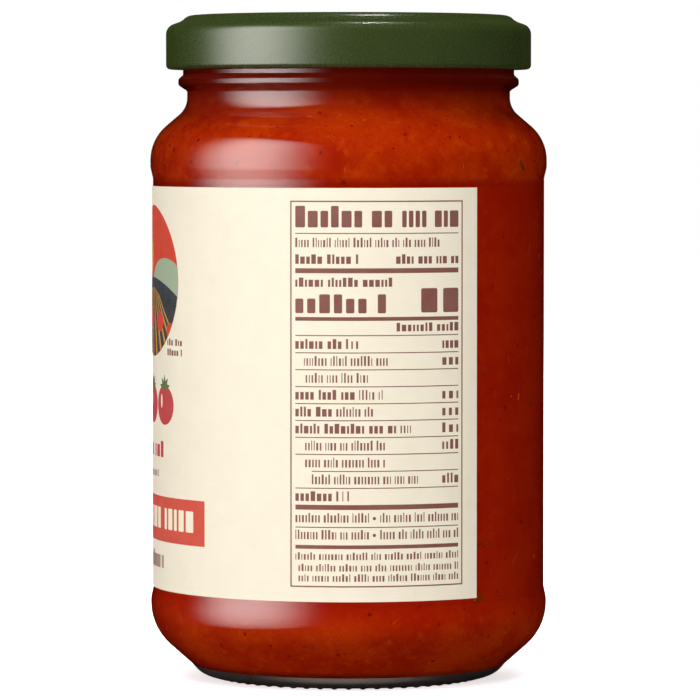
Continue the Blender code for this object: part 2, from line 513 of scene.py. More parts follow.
def rounded(corners: Sequence[Corner], arc_step: float = math.radians(4)) -> list[Vector]:
    """Turns corners into an outline.

    Args:
        corners: The corners in order.
        arc_step: The largest angle between two points of an arc.

    Returns:
        The outline's points, with each corner turned by an arc of its fillet.
    """
    points = [corners[0].point]
    for before, corner, after in zip(corners, corners[1:], corners[2:]):
        back = (before.point - corner.point).normalized()
        ahead = (after.point - corner.point).normalized()
        turn = math.pi - back.angle(ahead)
        if not corner.fillet or turn < 1e-5:
            points.append(corner.point)
            continue
        centre = corner.point + (back + ahead).normalized() * corner.fillet / math.cos(turn / 2)
        arm = corner.point + back * corner.fillet * math.tan(turn / 2) - centre
        side = math.copysign(1, back.x * ahead.y - back.y * ahead.x)
        steps = max(1, math.ceil(turn / arc_step))
        for step in range(steps + 1):
            points.append(centre + Matrix.Rotation(-side * turn * step / steps, 2) @ arm)
    points.append(corners[-1].point)
    return points


def inset(corners: Sequence[Corner], distance: float) -> list[Corner]:
    """Moves every side of an outline to the left of the way it runs.

    Args:
        corners: The outline's corners.
        distance: How far its sides move.

    Returns:
        The moved corners, with their fillets grown or shrunk to suit.
    """
    moved = []
    for i, corner in enumerate(corners):
        sides = []
        if i > 0:
            sides.append((corner.point - corners[i - 1].point).normalized())
        if i < len(corners) - 1:
            sides.append((corners[i + 1].point - corner.point).normalized())
        normals = [Vector((-side.y, side.x)) for side in sides]
        middle = sum(normals, Vector((0, 0))).normalized()
        place = corner.point + middle * distance / middle.dot(normals[0])
        bend = sides[0].cross(sides[-1]) if len(sides) == 2 else 0.0
        fillet = corner.fillet - math.copysign(distance, bend) if corner.fillet else 0.0
        moved.append(Corner(place.x, place.y, max(fillet, 0.0)))
    return moved


def turned(outline: Sequence[Vector], steps: int) -> bmesh.types.BMesh:
    """Turns an outline that starts and ends on the axis into a closed solid.

    Args:
        outline: The outline's points.
        steps: How many facets the solid has round the axis.

    Returns:
        The solid, with its faces pointing out.
    """
    shape = bmesh.new()
    verts = [shape.verts.new((point.x * MM, 0, point.y * MM)) for point in outline]
    edges = [shape.edges.new(pair) for pair in zip(verts, verts[1:])]
    bmesh.ops.spin(
        shape,
        geom=verts + edges,
        cent=(0, 0, 0),
        axis=(0, 0, 1),
        angle=math.tau,
        steps=steps,
        use_merge=True,
    )
    bmesh.ops.remove_doubles(shape, verts=shape.verts, dist=FINE)
    bmesh.ops.recalc_face_normals(shape, faces=shape.faces)
    return shape


def bent(radius: float, turn: float, height: float) -> Vector:
    """A point on a round of the jar, in metres, with its turn in radians from the front."""
    return Vector((radius * math.sin(turn), -radius * math.cos(turn), height)) * MM


def placed(name: str, data: bpy.types.ID) -> bpy.types.Object:
    """Adds an object with this data to the scene.

    Args:
        name: The object's name.
        data: Its mesh, lamp or camera.

    Returns:
        The object.
    """
    thing = bpy.data.objects.new(name, data)
    bpy.context.scene.collection.objects.link(thing)
    return thing


def made(shape: bmesh.types.BMesh, name: str, material: bpy.types.Material) -> bpy.types.Object:
    """Adds a shape to the scene.

    Args:
        shape: The shape, which is freed.
        name: The object's name.
        material: Its finish.

    Returns:
        The object.
    """
    mesh = bpy.data.meshes.new(name)
    shape.to_mesh(mesh)
    shape.free()
    mesh.materials.append(material)
    return placed(name, mesh)


def finished(
    shape: bmesh.types.BMesh,
    name: str,
    material: bpy.types.Material,
    slot: Slot,
    node: str | None = None,
    sharp: float = 35.0,
) -> bpy.types.Object:
    """Makes a shape a finished piece of the jar.

    Args:
        shape: The shape, in place.
        name: The piece's name.
        material: Its finish.
        slot: The slot that the finish comes from; it is not used.
        node: The CAD node that it stands for, if any.
        sharp: The angle in degrees from which an edge is drawn sharp.

    Returns:
        The piece.
    """
    piece = made(shape, name, material)
    piece.data.shade_smooth()
    piece.data.set_sharp_from_angle(angle=math.radians(sharp))
    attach(piece, BODY)
    if node:
        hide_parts(node)
    piece.data.calc_loop_triangles()
    LOG.info("%s: %d triangles", name, len(piece.data.loop_triangles))
    return piece


@dataclass(frozen=True)
class GlassForm:
    """The sizes of the glass, shared by the jar and the sauce in it."""

    bulge: float = 35.87
    panel: float = 35.40
    waist: float = 29.20
    bead: float = 30.80
    finish: float = 29.95
    bore: float = 27.00
    wall: float = 2.35
    heel: float = 26.66
    ring_inner: float = 22.95
    rib_height: float = 0.30
    ribs: int = 60
    top: float = 118.85
    kink_height: float = 2.52
    panel_bottom: float = 16.50
    panel_top: float = 90.35
    bead_bottom: float = 106.05
    bead_top: float = 108.95
    shoulder_top: float = 103.02
    heel_slope: float = 0.83
    foot_slope: float = 1.13
    shoulder_slope: float = 1.17
    floor: float = 5.40
    floor_edge: float = 3.90
    push_up: float = 3.00
    bore_foot: float = 101.87
    level: float = 112.00

    @property
    def kink(self) -> Corner:
        """Where the rounded heel meets the slope above it."""
        radius = self.heel + self.heel_slope * (self.kink_height - self.rib_height)
        return Corner(radius, self.kink_height, 0.9)

    def foot(self) -> list[Corner]:
        """The underside, from its middle out to the standing ring.

        Returns:
            The underside's corners.
        """
        return [
            Corner(0, self.rib_height + self.push_up),
            Corner(19.0, self.rib_height + 2.4, 4.0),
            Corner(self.ring_inner, self.rib_height, 0.3),
        ]

    def outside(self) -> list[Corner]:
        """The outside, from the heel up to the finish under the lid.

        Returns:
            The outside's corners.
        """
        kink = self.kink
        foot_meets_bulge = self.kink_height + (self.bulge - kink.radius) / self.foot_slope
        shoulder_meets_bulge = self.shoulder_top - (self.bulge - self.waist) / self.shoulder_slope
        return [
            Corner(self.heel, self.rib_height, 4.3),
            kink,
            Corner(self.bulge, foot_meets_bulge, 9.9),
            Corner(self.bulge, self.panel_bottom - 2.2, 4.0),
            Corner(self.panel, self.panel_bottom, 2.5),
            Corner(self.panel, self.panel_top, 1.5),
            Corner(self.bulge, self.panel_top + 1.9, 3.0),
            Corner(self.bulge, shoulder_meets_bulge, 8.1),
            Corner(self.waist, self.shoulder_top, 4.0),
            Corner(self.waist, self.bead_bottom, 0.5),
            Corner(self.bead, self.bead_bottom + 1.05, 0.7),
            Corner(self.bead, self.bead_top - 0.75, 0.7),
            Corner(self.finish, self.bead_top, 0.4),
            Corner(self.finish, self.top, 1.4),
        ]

    def inside(self) -> list[Corner]:
        """The inside, from the middle of the floor up to the bore of the neck.

        Returns:
            The inside's corners.
        """
        kink = self.kink
        slope = [kink, Corner(kink.radius + self.foot_slope * 10, self.kink_height + 10)]
        foot = inset(slope, self.wall)[0]
        inner = self.panel - self.wall
        swell = self.bulge - self.wall
        floor_radius = foot.radius + self.foot_slope * (self.floor_edge - foot.height)
        wall_foot = foot.height + (swell - foot.radius) / self.foot_slope
        wall_head = self.bore_foot - (swell - self.bore) / self.shoulder_slope
        return [
            Corner(0, self.floor),
            Corner(floor_radius, self.floor_edge, 3.0),
            Corner(swell, wall_foot, 4.5),
            Corner(swell, self.panel_bottom - 3.9, 1.0),
            Corner(inner, self.panel_bottom - 1.3, 0.3),
            Corner(inner, self.panel_top - 4.0, 6.0),
            Corner(inner + 0.14, self.panel_top - 1.1, 2.0),
            Corner(swell, self.panel_top + 0.5, 0.4),
            Corner(swell, wall_head, 6.0),
            Corner(self.bore, self.bore_foot, 5.5),
        ]


@dataclass(frozen=True)
class GlassJar:
    """The glass: one thick wall, open at the mouth, on a ring of small ribs.

    The width of a rib is half of it, as a share of the way from one rib to the next. The rows are
    the radii at which the ring's flat underside has points that can bend into ribs.
    """

    form: GlassForm
    facets_per_rib: int = 8
    rib_width: float = 0.24
    rib_from: float = 23.0
    rib_to: float = 24.7
    rib_rows: tuple[float, ...] = (23.3, 23.6, 23.9, 24.2, 24.45)
    rib_fullness: float = 0.6
    rib_ends: int = 4
    arc_step: float = math.radians(7)

    def shape(self) -> bmesh.types.BMesh:
        """Makes the wall and pushes the ribs out of its standing ring.

        Returns:
            The glass.
        """
        form = self.form
        lip = [Corner(form.bore, form.top, 1.0)]
        ring = [Corner(radius, form.rib_height) for radius in self.rib_rows]
        corners = form.foot() + ring + form.outside() + lip + form.inside()[::-1]
        shape = turned(rounded(corners, self.arc_step), form.ribs * self.facets_per_rib)
        reach = (self.rib_to - self.rib_from) / 2
        for vert in shape.verts:
            if vert.co.z > (form.rib_height + 0.02) * MM:
                continue
            across = (vert.co.xy.length / MM - self.rib_from) / reach - 1
            turn = math.atan2(vert.co.y, vert.co.x) * form.ribs / math.tau
            along = abs(turn - math.floor(turn) - 0.5) / self.rib_width
            drop = max(0.0, 1 - along**2) ** self.rib_fullness
            drop *= max(0.0, 1 - across**self.rib_ends)
            vert.co.z -= form.rib_height * drop * MM
        return shape

    def build(self, clear: bpy.types.Material, stippled: bpy.types.Material) -> None:
        """Adds the glass to the scene, out of the way of light that reaches the sauce.

        Args:
            clear: The finish of the wall.
            stippled: The finish of the standing ring.
        """
        piece = finished(self.shape(), "glass", clear, Slot.GLASS, "glass_jar")
        piece.data.materials.append(stippled)
        for face in piece.data.polygons:
            low = face.center.z < (self.form.kink_height - 0.1) * MM
            face.material_index = int(low and face.center.xy.length > self.form.ring_inner * MM)
        piece.visible_shadow = False
        piece.visible_diffuse = False


class SauceWall:
    """The outer surface of the sauce, as a place to put things on."""

    def __init__(self, outline: Sequence[Vector]) -> None:
        """Measures the outline.

        Args:
            outline: The sauce's outline, from the middle of its floor up to its rim.
        """
        self.outline = list(outline)
        self.lengths = [0.0]
        for start, end in zip(self.outline, self.outline[1:]):
            self.lengths.append(self.lengths[-1] + (end - start).length)

    def at(self, travel: float) -> tuple[Vector, Vector]:
        """Finds a point of the outline.

        Args:
            travel: How far along the outline it is.

        Returns:
            The point, and the way out of the sauce there.
        """
        travel = min(max(travel, 0.0), self.lengths[-1] - 1e-6)
        for i, (start, end) in enumerate(zip(self.lengths, self.lengths[1:])):
            if travel <= end:
                break
        share = (travel - start) / (end - start)
        point = self.outline[i].lerp(self.outline[i + 1], share)
        side = (self.outline[i + 1] - self.outline[i]).normalized()
        return point, Vector((side.y, -side.x))

    def travel_to(self, height: float) -> float:
        """Finds where the wall reaches a height.

        Args:
            height: The height.

        Returns:
            How far along the outline that is.
        """
        for i in range(len(self.outline) - 1, 0, -1):
            low, high = self.outline[i - 1].y, self.outline[i].y
            if low <= height <= high:
                share = (height - low) / max(high - low, 1e-6)
                return self.lengths[i - 1] + share * (self.lengths[i] - self.lengths[i - 1])
        return 0.0

    def lay(self, verts: Sequence[bmesh.types.BMVert], angle: float, travel: float) -> None:
        """Lays a small flat shape on the sauce.

        Args:
            verts: Its points: x goes round the jar, y up its wall and z out of it, in millimetres.
            angle: Where it goes round the jar, in degrees.
            travel: Where it goes along the outline.
        """
        for vert in verts:
            point, out = self.at(travel + vert.co.y)
            turn = math.radians(angle) + vert.co.x / max(point.x, 1.0)
            radius = point.x + out.x * vert.co.z
            height = point.y + out.y * vert.co.z
            vert.co = bent(radius, turn, height)


@dataclass(frozen=True)
class Sauce:
    """The sauce: a solid that fills the jar and reaches just into the wall."""

    form: GlassForm
    into_wall: float = 0.08
    facets: int = 192

    def wall(self) -> SauceWall:
        """The sauce's outer surface, up to its rim.

        Returns:
            The surface.
        """
        outward = inset(self.form.inside(), -self.into_wall)
        floor = Corner(0, outward[0].height)
        rim = Corner(self.form.bore + self.into_wall, self.form.level)
        return SauceWall(rounded([floor] + outward[1:] + [rim]))

    def build(self, material: bpy.types.Material) -> SauceWall:
        """Adds the sauce to the scene.

        Args:
            material: Its finish.

        Returns:
            The sauce's outer surface.
        """
        wall = self.wall()
        outline = wall.outline + [Vector((0, self.form.level))]
        finished(turned(outline, self.facets), "sauce_fill", material, Slot.SAUCE, "sauce")
        return wall


@dataclass(frozen=True)
class Bits:
    """Small things of one kind that show where the sauce meets the glass."""

    name: str
    count: int
    smallest: float
    largest: float
    slim: float
    thick: float
    sides: int
    seed: int
    rough: float = 0.25
    lowest: float = 6.0
    highest: float = 102.0
    skew: float = 2.2
    foot_radius: float = 0.5
    head_radius: float = 0.38
    slim_range: tuple[float, float] = (0.75, 1.25)

    def one(self, shape: bmesh.types.BMesh, rng: random.Random) -> list[bmesh.types.BMVert]:
        """Makes one bit, flat and at the middle.

        Args:
            shape: The mesh that it goes into.
            rng: The source of its unevenness.

        Returns:
            Its points, in millimetres.
        """
        size = self.smallest + (self.largest - self.smallest) * rng.random() ** self.skew
        cone = bmesh.ops.create_cone(
            shape,
            cap_ends=True,
            cap_tris=True,
            segments=self.sides,
            radius1=self.foot_radius,
            radius2=self.head_radius,
            depth=1.0,
        )
        swell = [1 + self.rough * rng.uniform(-1, 1) for _ in range(self.sides)]
        slim = self.slim * rng.uniform(*self.slim_range)
        spin = Matrix.Rotation(rng.uniform(0, math.tau), 3, "Z")
        for vert in cone["verts"]:
            if vert.co.xy.length > 0.01:
                turn = math.atan2(vert.co.y, vert.co.x) / math.tau * self.sides
                vert.co.xy = vert.co.xy * swell[round(turn) % self.sides]
            vert.co = spin @ (vert.co * Vector((size, size * slim, self.thick)))
        return cone["verts"]

    def build(self, wall: SauceWall, material: bpy.types.Material) -> None:
        """Scatters the bits over the sauce and adds them to the scene.

        Args:
            wall: The sauce's outer surface.
            material: The finish of the bits.
        """
        rng = random.Random(self.seed)
        shape = bmesh.new()
        low, high = wall.travel_to(self.lowest), wall.travel_to(self.highest)
        for _ in range(self.count):
            verts = self.one(shape, rng)
            wall.lay(verts, rng.uniform(-180, 180), rng.uniform(low, high))
        bmesh.ops.recalc_face_normals(shape, faces=shape.faces)
        finished(shape, self.name, material, Slot.SAUCE)


@dataclass(frozen=True)
class Lid:
    """The twist-off lid: raised panel, dished middle, shoulder, straight skirt and curled edge."""

    top: float = 119.70
    radius: float = 33.01
    bottom: float = 109.95
    sheet: float = 0.45
    panel: float = 29.40
    groove: float = 30.22
    groove_height: float = 118.46
    crest: float = 30.55
    shoulder_height: float = 117.64
    curl: float = 2.05
    dish: float = 19.0
    dish_depth: float = 0.45
    facets: int = 256
    arc_step: float = math.radians(9)

    def outside(self) -> list[Corner]:
        """The painted face, from the middle of the top down to the lower edge.

        Returns:
            The face's corners.
        """
        return [
            Corner(0, self.top - self.dish_depth - 0.2),
            Corner(self.dish - 1.1, self.top - self.dish_depth, 0.8),
            Corner(self.dish, self.top, 0.8),
            Corner(self.panel, self.top, 2.3),
            Corner(self.groove, self.groove_height, 0.05),
            Corner(self.crest, self.groove_height + 0.04, 0.2),
            Corner(self.radius, self.shoulder_height, 1.9),
            Corner(self.radius, self.bottom, 0.8),
        ]

    def shape(self) -> bmesh.types.BMesh:
        """Makes the lid.

        Returns:
            The lid.
        """
        outside = self.outside()
        curl_inner = self.radius - self.curl
        skirt = self.radius - self.sheet
        under = inset(outside[:4] + outside[6:8], -self.sheet)[:5]
        corners = (
            outside
            + [
                Corner(curl_inner, self.bottom, 0.9),
                Corner(curl_inner, self.bottom + self.curl, 0.9),
                Corner(skirt, self.bottom + self.curl + 0.4, 0.2),
            ]
            + under[:0:-1]
            + [Corner(0, outside[0].height - self.sheet)]
        )
        return turned(rounded(corners, self.arc_step), self.facets)

    def build(self, material: bpy.types.Material) -> None:
        """Adds the lid to the scene."""
        finished(self.shape(), "lid_shell", material, Slot.LACQUER, "lid", sharp=50)


@dataclass(frozen=True)
class LabelPaper:
    """The sheet of the label, bent round the panel with its gap at the back."""

    bottom: float = 16.65
    top: float = 88.95
    half_angle: float = 120.4
    inner: float = 35.42
    steps: int = 242
    rows: int = 24

    def build(self, material: bpy.types.Material) -> None:
        """Adds the sheet to the scene.

        Args:
            material: The paper.
        """
        height = (self.top - self.bottom) * MM
        sheet = bmesh.new()
        bmesh.ops.create_grid(
            sheet,
            x_segments=1,
            y_segments=self.rows,
            size=0.5,
            matrix=Matrix.LocRotScale(
                Vector(((self.inner + LABEL_RADIUS) / 2 * MM, 0, (self.bottom + self.top) / 2 * MM)),
                Matrix.Rotation(math.pi / 2, 3, "X"),
                Vector(((LABEL_RADIUS - self.inner) * MM, height, 1)),
            ),
        )
        start = Matrix.Rotation(-math.pi / 2 - math.radians(self.half_angle), 3, "Z")
        bmesh.ops.rotate(sheet, verts=sheet.verts, cent=(0, 0, 0), matrix=start)
        bmesh.ops.spin(
            sheet,
            geom=sheet.faces[:] + sheet.edges[:] + sheet.verts[:],
            cent=(0, 0, 0),
            axis=(0, 0, 1),
            angle=2 * math.radians(self.half_angle),
            steps=self.steps,
        )
        bmesh.ops.recalc_face_normals(sheet, faces=sheet.faces)
        piece = finished(sheet, "label_paper", material, Slot.PAPER, "label")
        piece.visible_shadow = False


class Weight(Enum):
    """How heavy a greeked line is.

    The numbers are a block's width, the gap after it, its rounding and the share of tall blocks.
    """

    LIGHT = (0.27, 0.27, 0.0, 0.25)
    BOLD = (0.62, 0.25, 0.0, 0.25)
    HEAVY = (1.45, 0.42, 0.22, 0.25)
    HEADING = (1.35, 0.40, 0.22, 0.3)
    CAPITAL = (1.75, 0.55, 0.2, 1.0)
    FIGURE = (3.1, 0.6, 0.3, 1.0)


class Print:
    """Flat shapes of one ink, drawn with x round the jar and y up it, in millimetres.

    The coats of ink lie apart, the first one clear of the paper. The blocks of a line are strokes
    of uneven width, in words of uneven length, and low beside the tall ones.
    """

    coat: float = 0.012
    clear: float = 0.006
    coat_pitch: float = 0.0144
    strokes: tuple[float, ...] = (0.6, 1.0, 1.0, 1.3)
    letters: tuple[int, int] = (3, 8)
    space: float = 0.6
    low: float = 0.77
    facet: float = 1.2
    trim_sides: int = 60

    def __init__(self, seed: int = 1) -> None:
        """Starts with nothing drawn, and a seed for the rhythm of its words."""
        self.shape = bmesh.new()
        self.rng = random.Random(seed)

    def bar(self, left: float, right: float, bottom: float, top: float) -> Faces:
        """Draws a filled rectangle.

        Args:
            left: Its left edge.
            right: Its right edge.
            bottom: Its lower edge.
            top: Its upper edge.

        Returns:
            Its faces.
        """
        matrix = Matrix.LocRotScale(
            Vector(((left + right) / 2, (bottom + top) / 2, 0)),
            None,
            Vector((right - left, top - bottom, 1)),
        )
        drawn = bmesh.ops.create_grid(
            self.shape,
            x_segments=max(1, math.ceil((right - left) / self.facet)),
            y_segments=1,
            size=0.5,
            matrix=matrix,
        )
        return list({face for vert in drawn["verts"] for face in vert.link_faces})

    def disc(self, x: float, y: float, wide: float, high: float, sides: int = 64) -> Faces:
        """Draws a filled ellipse.

        Args:
            x: Its middle round the jar.
            y: Its middle up the jar.
            wide: Half its width.
            high: Half its height.
            sides: How many sides it has.

        Returns:
            Its faces.
        """
        matrix = Matrix.LocRotScale(Vector((x, y, 0)), None, Vector((wide, high, 1)))
        drawn = bmesh.ops.create_circle(
            self.shape, cap_ends=True, segments=sides, radius=1, matrix=matrix
        )
        return list({face for vert in drawn["verts"] for face in vert.link_faces})

    def leaf(self, x: float, y: float, length: float, width: float, turn: float) -> None:
        """Draws a pointed leaf.

        Args:
            x: Its foot round the jar.
            y: Its foot up the jar.
            length: How long it is.
            width: How wide it is.
            turn: The way it points, in degrees from straight up.
        """
        faces = self.disc(0, 0, 1, 1, 20)
        verts = {vert for face in faces for vert in face.verts}
        lean = Matrix.Rotation(math.radians(-turn), 2)
        for vert in verts:
            share = (vert.co.y + 1) / 2
            half = math.sin(math.pi * share**0.8) ** 1.2 * width / 2
            place = lean @ Vector((math.copysign(half, vert.co.x), share * length))
            vert.co = Vector((x + place.x, y + place.y, 0))
        bmesh.ops.remove_doubles(self.shape, verts=list(verts), dist=1e-4)

    def trim(self, faces: Faces, x: float, y: float, radius: float) -> None:
        """Cuts shapes off where they leave a circle.

        Args:
            faces: The shapes' faces.
            x: The circle's middle round the jar.
            y: The circle's middle up the jar.
            radius: Its radius.
        """
        left = [face for face in faces if face.is_valid]
        for step in range(self.trim_sides):
            turn = math.tau * step / self.trim_sides
            out = Vector((math.cos(turn), math.sin(turn), 0))
            geom = set(left) | {edge for face in left for edge in face.edges}
            geom |= {vert for face in left for vert in face.verts}
            if not geom:
                return
            cut = bmesh.ops.bisect_plane(
                self.shape,
                geom=list(geom),
                dist=1e-5,
                plane_co=Vector((x, y, 0)) + out * radius,
                plane_no=out,
                clear_outer=True,
            )
            kept = (item for item in cut["geom"] if isinstance(item, bmesh.types.BMFace))
            left = [face for face in kept if face.is_valid]

    def block(self, left: float, right: float, bottom: float, top: float, rounding: float) -> None:
        """Draws a rectangle with rounded corners.

        Args:
            left: Its left edge.
            right: Its right edge.
            bottom: Its lower edge.
            top: Its upper edge.
            rounding: The radius of its corners.
        """
        faces = self.bar(left, right, bottom, top)
        if not rounding:
            return
        corners = {vert for face in faces for vert in face.verts if len(vert.link_edges) == 2}
        bmesh.ops.bevel(
            self.shape,
            geom=list(corners),
            offset=rounding,
            affect="VERTICES",
            segments=3,
            profile=0.5,
            material=-1,
        )

    def words(self, left: float, right: float, bottom: float, top: float, weight: Weight) -> None:
        """Fills a line with plain blocks in the rhythm of words.

        Args:
            left: Where the line starts.
            right: Where it ends.
            bottom: The foot of its blocks.
            top: The head of its tallest blocks.
            weight: How heavy it is.
        """
        width, gap, rounding, tall_share = weight.value
        low = 1.0 if tall_share == 1.0 else self.low
        spans = []
        x = left
        in_word = self.rng.randint(*self.letters)
        while True:
            wide = width * self.rng.choice(self.strokes)
            if x + wide > right:
                break
            spans.append((x, wide))
            x += wide + gap
            in_word -= 1
            if in_word == 0:
                x += width * self.space + gap
                in_word = self.rng.randint(*self.letters)
        if not spans:
            return
        slack = right - sum(spans[-1])
        for i, (start, wide) in enumerate(spans):
            start += slack * i / max(len(spans) - 1, 1)
            high = (top - bottom) * (1.0 if self.rng.random() < tall_share else low)
            self.block(start, start + wide, bottom, bottom + high, rounding)

    def cut_in_strips(self, pitch: float = 1.0) -> None:
        """Cuts the shapes upright at even steps, so that they bend smoothly.

        Args:
            pitch: How far apart the cuts are.
        """
        xs = [vert.co.x for vert in self.shape.verts]
        x = math.floor(min(xs)) + pitch / 2
        while x < max(xs):
            geom = self.shape.verts[:] + self.shape.edges[:] + self.shape.faces[:]
            bmesh.ops.bisect_plane(
                self.shape, geom=geom, dist=1e-5, plane_co=(x, 0, 0), plane_no=(1, 0, 0)
            )
            x += pitch

    def wrap(self, name: str, angle: float, layer: int, material: bpy.types.Material) -> None:
        """Bends the print round the label and adds it to the scene.

        Args:
            name: The piece's name.
            angle: Where its middle goes round the jar, in degrees.
            layer: How many coats lie under it.
            material: Its ink.
        """
        bmesh.ops.recalc_face_normals(self.shape, faces=self.shape.faces)
        bmesh.ops.solidify(self.shape, geom=self.shape.faces[:], thickness=self.coat)
        lowest = min(vert.co.z for vert in self.shape.verts)
        base = LABEL_RADIUS + self.clear + self.coat_pitch * layer
        for vert in self.shape.verts:
            turn = math.radians(angle) + vert.co.x / LABEL_RADIUS
            vert.co = bent(base + vert.co.z - lowest, turn, vert.co.y)
        bmesh.ops.recalc_face_normals(self.shape, faces=self.shape.faces)
        piece = finished(self.shape, name, material, Slot.PAPER)
        piece.visible_shadow = False


class Ink(Enum):
    """The label's inks."""

    BROWN = ("brown_ink", linear(127, 74, 66))
    RED = ("red_ink", linear(206, 66, 46))
    CRIMSON = ("crimson_ink", linear(184, 44, 52))
    CREAM = ("cream_ink", linear(250, 238, 212))
    SUNSET = ("sunset_ink", linear(202, 50, 18))
    OCHRE = ("ochre_ink", linear(206, 144, 36))
    HILL = ("hill_ink", linear(156, 172, 144))
    NIGHT = ("night_ink", linear(14, 24, 34))
    LEAF = ("leaf_ink", linear(80, 96, 48))


Inks = dict[Ink, bpy.types.Material]
TEXT_EDGE = 14.85


@dataclass(frozen=True)
class Line:
    """Greeked words of the fact table, whose heads are this far down from the table's top."""

    left: float
    right: float
    down: float
    high: float
    weight: Weight = Weight.LIGHT

    def draw(self, sheet: Print, top: float) -> None:
        """Draws the words into a print, below this top."""
        head = top - self.down
        sheet.words(self.left, self.right, head - self.high, head, self.weight)


@dataclass(frozen=True)
class Rule:
    """A level rule of the fact table, whose middle is this far down from the table's top."""

    down: float
    thick: float = 0.17
    left: float = -TEXT_EDGE

    def draw(self, sheet: Print, top: float) -> None:
        """Draws the rule into a print, below this top."""
        middle, half = top - self.down, self.thick / 2
        sheet.bar(self.left, TEXT_EDGE, middle - half, middle + half)


@dataclass(frozen=True)
class Dot:
    """A round dot of the fact table, whose middle is this far down from the table's top."""

    x: float
    down: float
    radius: float = 0.3

    def draw(self, sheet: Print, top: float) -> None:
        """Draws the dot into a print, below this top."""
        sheet.disc(self.x, top - self.down, self.radius, self.radius, 12)


@dataclass(frozen=True)
class FactRow:
    """A row of the fact table: where its words start, change weight and end.

    It may have a share of the day's need at its right, and its rule may start further in.
    """

    start: float
    bold_to: float | None
    light_to: float
    share: bool
    rule_left: float = -TEXT_EDGE


@dataclass(frozen=True)
class FactTable:
    """The framed table on the label's side, in brown, with its words greeked."""

    middle: float = 89.8
    top: float = 86.74
    bottom: float = 19.24
    half_width: float = 15.77
    line: float = 0.24
    row_top: float = 24.1
    row_pitch: float = 2.955
    row_height: float = 1.72
    row_rule: float = 2.42
    word_gap: float = 0.8
    share_left: float = 11.6
    head: tuple[Line | Rule, ...] = (
        Line(-TEXT_EDGE, 2.2, 0.9, 3.75, Weight.HEADING),
        Line(4.0, TEXT_EDGE, 0.9, 3.75, Weight.HEADING),
        Rule(5.7),
        Line(-TEXT_EDGE, 11.0, 6.45, 1.65),
        Line(-TEXT_EDGE, -3.8, 9.35, 1.65, Weight.BOLD),
        Line(2.9, TEXT_EDGE, 9.35, 1.65, Weight.BOLD),
        Rule(12.2, 0.86),
        Line(-TEXT_EDGE, 2.2, 13.4, 1.6, Weight.BOLD),
        Line(-TEXT_EDGE, 1.1, 16.3, 3.3, Weight.HEAVY),
        Line(7.5, TEXT_EDGE, 15.3, 4.25, Weight.FIGURE),
        Rule(20.6, 0.66),
        Line(3.0, TEXT_EDGE, 21.3, 1.5, Weight.BOLD),
        Rule(23.5),
    )
    rows: tuple[FactRow, ...] = (
        FactRow(-TEXT_EDGE, -6.7, -3.8, True),
        FactRow(-13.3, None, 1.4, True),
        FactRow(-13.0, None, -2.1, False),
        FactRow(-TEXT_EDGE, -4.4, 0.5, True),
        FactRow(-TEXT_EDGE, -8.4, -1.2, True),
        FactRow(-TEXT_EDGE, 2.9, 5.6, True),
        FactRow(-13.1, None, 0.9, True),
        FactRow(-13.1, None, 0.9, False, rule_left=-11.9),
        FactRow(-11.9, None, 6.9, True),
        FactRow(-TEXT_EDGE, -8.4, -5.4, False),
    )
    tail: tuple[Line | Rule | Dot, ...] = (
        Rule(53.5, 0.86),
        Line(-TEXT_EDGE, -1.9, 54.5, 1.65),
        Dot(-0.95, 55.45),
        Line(0.1, TEXT_EDGE, 54.5, 1.65),
        Line(-TEXT_EDGE, -1.9, 57.45, 1.65),
        Dot(-0.95, 58.4),
        Line(0.1, TEXT_EDGE, 57.45, 1.65),
        Rule(57.0),
        Rule(60.45, 0.66),
        Line(-TEXT_EDGE, TEXT_EDGE, 61.4, 1.3),
        Line(-14.3, TEXT_EDGE, 63.4, 1.3),
        Line(-14.3, TEXT_EDGE, 65.2, 1.3),
    )

    def frame(self, sheet: Print) -> None:
        """Draws the thin frame.

        Args:
            sheet: The print that it goes into.
        """
        side, line = self.half_width, self.line
        sheet.bar(-side, side, self.top - line, self.top)
        sheet.bar(-side, side, self.bottom, self.bottom + line)
        sheet.bar(-side, -side + line, self.bottom + line, self.top - line)
        sheet.bar(side - line, side, self.bottom + line, self.top - line)

    def body(self) -> Iterator[Line | Rule]:
        """The table's rows, each with a rule under it.

        Yields:
            Their words and rules in order.
        """
        for i, row in enumerate(self.rows):
            down = self.row_top + i * self.row_pitch
            start = row.start
            if row.bold_to is not None:
                yield Line(start, row.bold_to, down, self.row_height, Weight.BOLD)
                start = row.bold_to + self.word_gap
            yield Line(start, row.light_to, down, self.row_height)
            if row.share:
                yield Line(self.share_left, TEXT_EDGE, down, self.row_height, Weight.BOLD)
            if i < len(self.rows) - 1:
                yield Rule(down + self.row_rule, left=row.rule_left)

    def build(self, inks: Inks) -> None:
        """Adds the table to the scene.

        Args:
            inks: The label's inks.
        """
        sheet = Print(seed=11)
        self.frame(sheet)
        for mark in (*self.head, *self.body(), *self.tail):
            mark.draw(sheet, self.top)
        sheet.wrap("fact_table_print", self.middle, 0, inks[Ink.BROWN])


